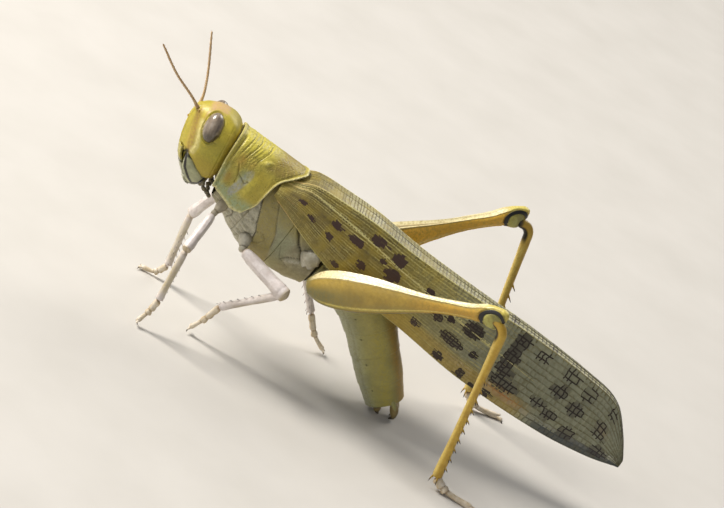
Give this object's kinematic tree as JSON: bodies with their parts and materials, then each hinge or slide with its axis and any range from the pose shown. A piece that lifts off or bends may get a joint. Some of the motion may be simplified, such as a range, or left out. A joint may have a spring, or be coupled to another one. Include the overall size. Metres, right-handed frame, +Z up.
{
  "type": "desert locust model",
  "caption": "Life-size desert locust, an adult female standing with folded wings, raised hind knees and her abdomen bent down to lay eggs.",
  "frame": {"origin": "middle of the model's own box at floor level, where the feet stand", "axes": "+Y runs from the head to the wing tips, +X to the animal's left side, +Z up"},
  "size_m": [0.0324, 0.0754, 0.0344],
  "materials": {
    "head_shell": "satin shell, lemon and olive yellow with brown bands",
    "eye": "glossy grey brown",
    "mouthparts": "pale cream",
    "jaw": "grey green with a dark edge",
    "palps": "dark brown",
    "antenna": "tan orange",
    "neck_skin": "soft matt skin",
    "pronotum_shell": "satin shell, yellow with cream rims and dark grooves",
    "thorax_shell": "satin, chalky grey with olive panels and dark seams",
    "forewing": "leathery, olive with dark brown cells",
    "hindwing": "thin, smoky and clear",
    "abdomen_shell": "satin, grey green and yellow",
    "ovipositor": "hard, dark brown to black tips",
    "walking_leg": "satin, pinkish cream",
    "hind_femur": "satin, golden with a cream ridge",
    "hind_tibia": "satin, golden",
    "tarsus": "satin, tan with dark tips"
  },
  "bodies": {
    "root": {"head": "head_shell", "eye_left": "eye", "eye_right": "eye", "clypeus": "mouthparts", "labrum": "mouthparts", "mandible_left": "jaw", "mandible_right": "jaw", "labium": "palps", "maxillary_palp_left": "palps", "maxillary_palp_right": "palps", "labial_palp_left": "palps", "labial_palp_right": "palps", "antenna_left": "antenna", "antenna_right": "antenna", "neck": "neck_skin", "pronotum": "pronotum_shell", "prothorax": "thorax_shell", "mesothorax": "thorax_shell", "metathorax": "thorax_shell", "tegmen_left": "forewing", "tegmen_right": "forewing", "hindwing_left": "hindwing", "hindwing_right": "hindwing", "abdomen_1": "abdomen_shell", "abdomen_2": "abdomen_shell", "abdomen_3": "abdomen_shell", "abdomen_4": "abdomen_shell", "abdomen_5": "abdomen_shell", "abdomen_6": "abdomen_shell", "abdomen_7": "abdomen_shell", "abdomen_8": "abdomen_shell", "ovipositor_upper": "ovipositor", "ovipositor_lower": "ovipositor", "foreleg_left_coxa": "walking_leg", "foreleg_left_femur": "walking_leg", "foreleg_left_tibia": "walking_leg", "foreleg_left_tarsus": "tarsus", "foreleg_right_coxa": "walking_leg", "foreleg_right_femur": "walking_leg", "foreleg_right_tibia": "walking_leg", "foreleg_right_tarsus": "tarsus", "midleg_left_coxa": "walking_leg", "midleg_left_femur": "walking_leg", "midleg_left_tibia": "walking_leg", "midleg_left_tarsus": "tarsus", "midleg_right_coxa": "walking_leg", "midleg_right_femur": "walking_leg", "midleg_right_tibia": "walking_leg", "midleg_right_tarsus": "tarsus", "hindleg_left_coxa": "walking_leg", "hindleg_left_femur": "hind_femur", "hindleg_left_tibia": "hind_tibia", "hindleg_left_tarsus": "tarsus", "hindleg_right_coxa": "walking_leg", "hindleg_right_femur": "hind_femur", "hindleg_right_tibia": "hind_tibia", "hindleg_right_tarsus": "tarsus"}
  },
  "joints": []
}
